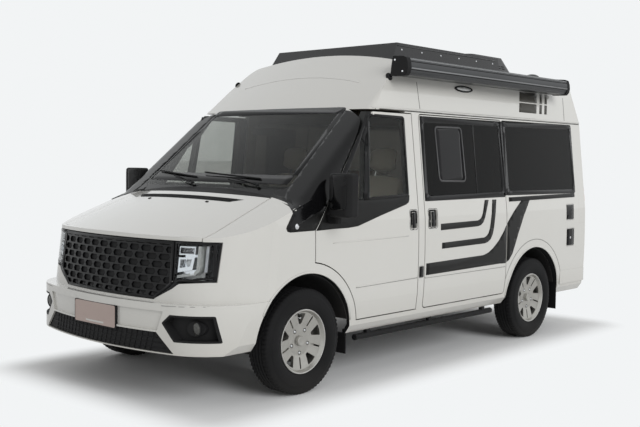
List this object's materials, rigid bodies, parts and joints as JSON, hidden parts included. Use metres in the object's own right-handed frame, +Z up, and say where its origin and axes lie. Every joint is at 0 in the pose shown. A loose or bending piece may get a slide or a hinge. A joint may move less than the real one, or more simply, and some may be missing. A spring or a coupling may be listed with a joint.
{
  "type": "camper van",
  "caption": "Mid-roof camper van with hinged cab and rear doors, opening bonnet, steered front wheels, side awning, roof unit and covered spare wheel.",
  "frame": {"origin": "on the ground under the middle of the bounding box", "axes": "+Z up, the nose points along -Y, +X is the van's left-hand side"},
  "size_m": [2.4, 5.07, 2.5389],
  "materials": {
    "paint": "glossy white paint",
    "black_trim": "satin black moulding",
    "lamp_glass": "clear moulded lens",
    "lamp_bodies": "grey and chromed lamp housing",
    "clear_glass": "lightly tinted laminated glass",
    "dark_glass": "dark tinted toughened glass",
    "cover_vinyl": "black spare-wheel cover",
    "floor_steel": "grey coated floor",
    "chassis_steel": "black chassis paint",
    "engine_alloy": "cast surface",
    "tank_plastic": "moulded tank",
    "cabin_plastic": "grained dashboard plastic",
    "seat_cloth": "beige upholstery",
    "cabinet_board": "pale laminated board",
    "awning_alloy": "dark grey anodised cassette",
    "unit_plastic": "dark grey moulded cover",
    "skirt_alloy": "black powder-coated sheet",
    "tyre_rubber": "black rubber",
    "wheel_alloy": "silver painted alloy"
  },
  "bodies": {
    "body": {"fender_left": "paint", "fender_right": "paint", "cowl_panel": "black_trim", "bumper_front": "paint", "grille_panel": "black_trim", "headlamps": "lamp_bodies", "bumper_inserts": "black_trim", "windscreen": "clear_glass", "roof": "paint", "wall_left": "paint", "wall_right": "paint", "slide_door": "paint", "slide_glass": "dark_glass", "side_glass": "dark_glass", "rear_bumper": "black_trim", "tail_lamps": "lamp_glass", "floor_pan": "floor_steel", "wheel_housings": "black_trim", "chassis": "chassis_steel", "struts": "chassis_steel", "rear_axle": "chassis_steel", "engine": "engine_alloy", "fuel_tank": "tank_plastic", "dashboard": "cabin_plastic", "steering_wheel": "cabin_plastic", "seat_boxes": "chassis_steel", "seats_front": "seat_cloth", "cabinet": "cabinet_board", "bed": "seat_cloth", "awning": "awning_alloy", "air_unit": "unit_plastic", "roof_skirt": "skirt_alloy", "side_step": "black_trim", "headlamp_lenses": "lamp_glass", "service_covers": "paint", "mudflaps": "black_trim"},
    "bonnet": {"bonnet": "paint", "bonnet_inlet": "black_trim"},
    "door_front_left": {"door_front_left": "paint", "door_glass_left": "dark_glass", "mirror_left": "black_trim"},
    "door_front_right": {"door_front_right": "paint", "door_glass_right": "dark_glass", "mirror_right": "black_trim"},
    "rear_door_left": {"rear_door_left": "paint", "rear_glass_left": "dark_glass", "spare_wheel": "cover_vinyl"},
    "rear_door_right": {"rear_door_right": "paint", "rear_glass_right": "dark_glass"},
    "knuckle_left": {"knuckle_left": "chassis_steel"},
    "knuckle_right": {"knuckle_right": "chassis_steel"},
    "wheel_front_left": {"tyre_front_left": "tyre_rubber", "rim_front_left": "wheel_alloy"},
    "wheel_front_right": {"tyre_front_right": "tyre_rubber", "rim_front_right": "wheel_alloy"},
    "wheel_rear_left": {"tyre_rear_left": "tyre_rubber", "rim_rear_left": "wheel_alloy"},
    "wheel_rear_right": {"tyre_rear_right": "tyre_rubber", "rim_rear_right": "wheel_alloy"}
  },
  "joints": [
    {"name": "bonnet_hinge", "type": "hinge", "parent": "body", "child": "bonnet", "pos_m": [0, -1.642, 1.325], "axis": [-1, 0, 0], "range_deg": [0, 55]},
    {"name": "door_left_hinge", "type": "hinge", "parent": "body", "child": "door_front_left", "pos_m": [0.99, -1.498, 0.85], "axis": [0, 0, -1], "range_deg": [0, 68]},
    {"name": "door_right_hinge", "type": "hinge", "parent": "body", "child": "door_front_right", "pos_m": [-0.99, -1.498, 0.85], "axis": [0, 0, 1], "range_deg": [0, 68]},
    {"name": "rear_left_hinge", "type": "hinge", "parent": "body", "child": "rear_door_left", "pos_m": [0.902, 2.31, 1.2], "axis": [0, 0, -1], "range_deg": [0, 90]},
    {"name": "rear_right_hinge", "type": "hinge", "parent": "body", "child": "rear_door_right", "pos_m": [-0.902, 2.31, 1.2], "axis": [0, 0, 1], "range_deg": [0, 90]},
    {"name": "steer_left", "type": "hinge", "parent": "body", "child": "knuckle_left", "pos_m": [0.74, -1.57, 0.35], "axis": [0, 0, 1], "range_deg": [-35, 35]},
    {"name": "steer_right", "type": "hinge", "parent": "body", "child": "knuckle_right", "pos_m": [-0.74, -1.57, 0.35], "axis": [0, 0, 1], "range_deg": [-35, 35]},
    {"name": "spin_front_left", "type": "hinge", "parent": "knuckle_left", "child": "wheel_front_left", "pos_m": [0.87, -1.57, 0.35], "axis": [1, 0, 0], "continuous": true},
    {"name": "spin_front_right", "type": "hinge", "parent": "knuckle_right", "child": "wheel_front_right", "pos_m": [-0.87, -1.57, 0.35], "axis": [1, 0, 0], "continuous": true},
    {"name": "spin_rear_left", "type": "hinge", "parent": "body", "child": "wheel_rear_left", "pos_m": [0.87, 1.363, 0.35], "axis": [1, 0, 0], "continuous": true},
    {"name": "spin_rear_right", "type": "hinge", "parent": "body", "child": "wheel_rear_right", "pos_m": [-0.87, 1.363, 0.35], "axis": [1, 0, 0], "continuous": true}
  ],
  "couplings": [
    {"joint": "steer_right", "follows": "steer_left", "ratio": 1}
  ]
}
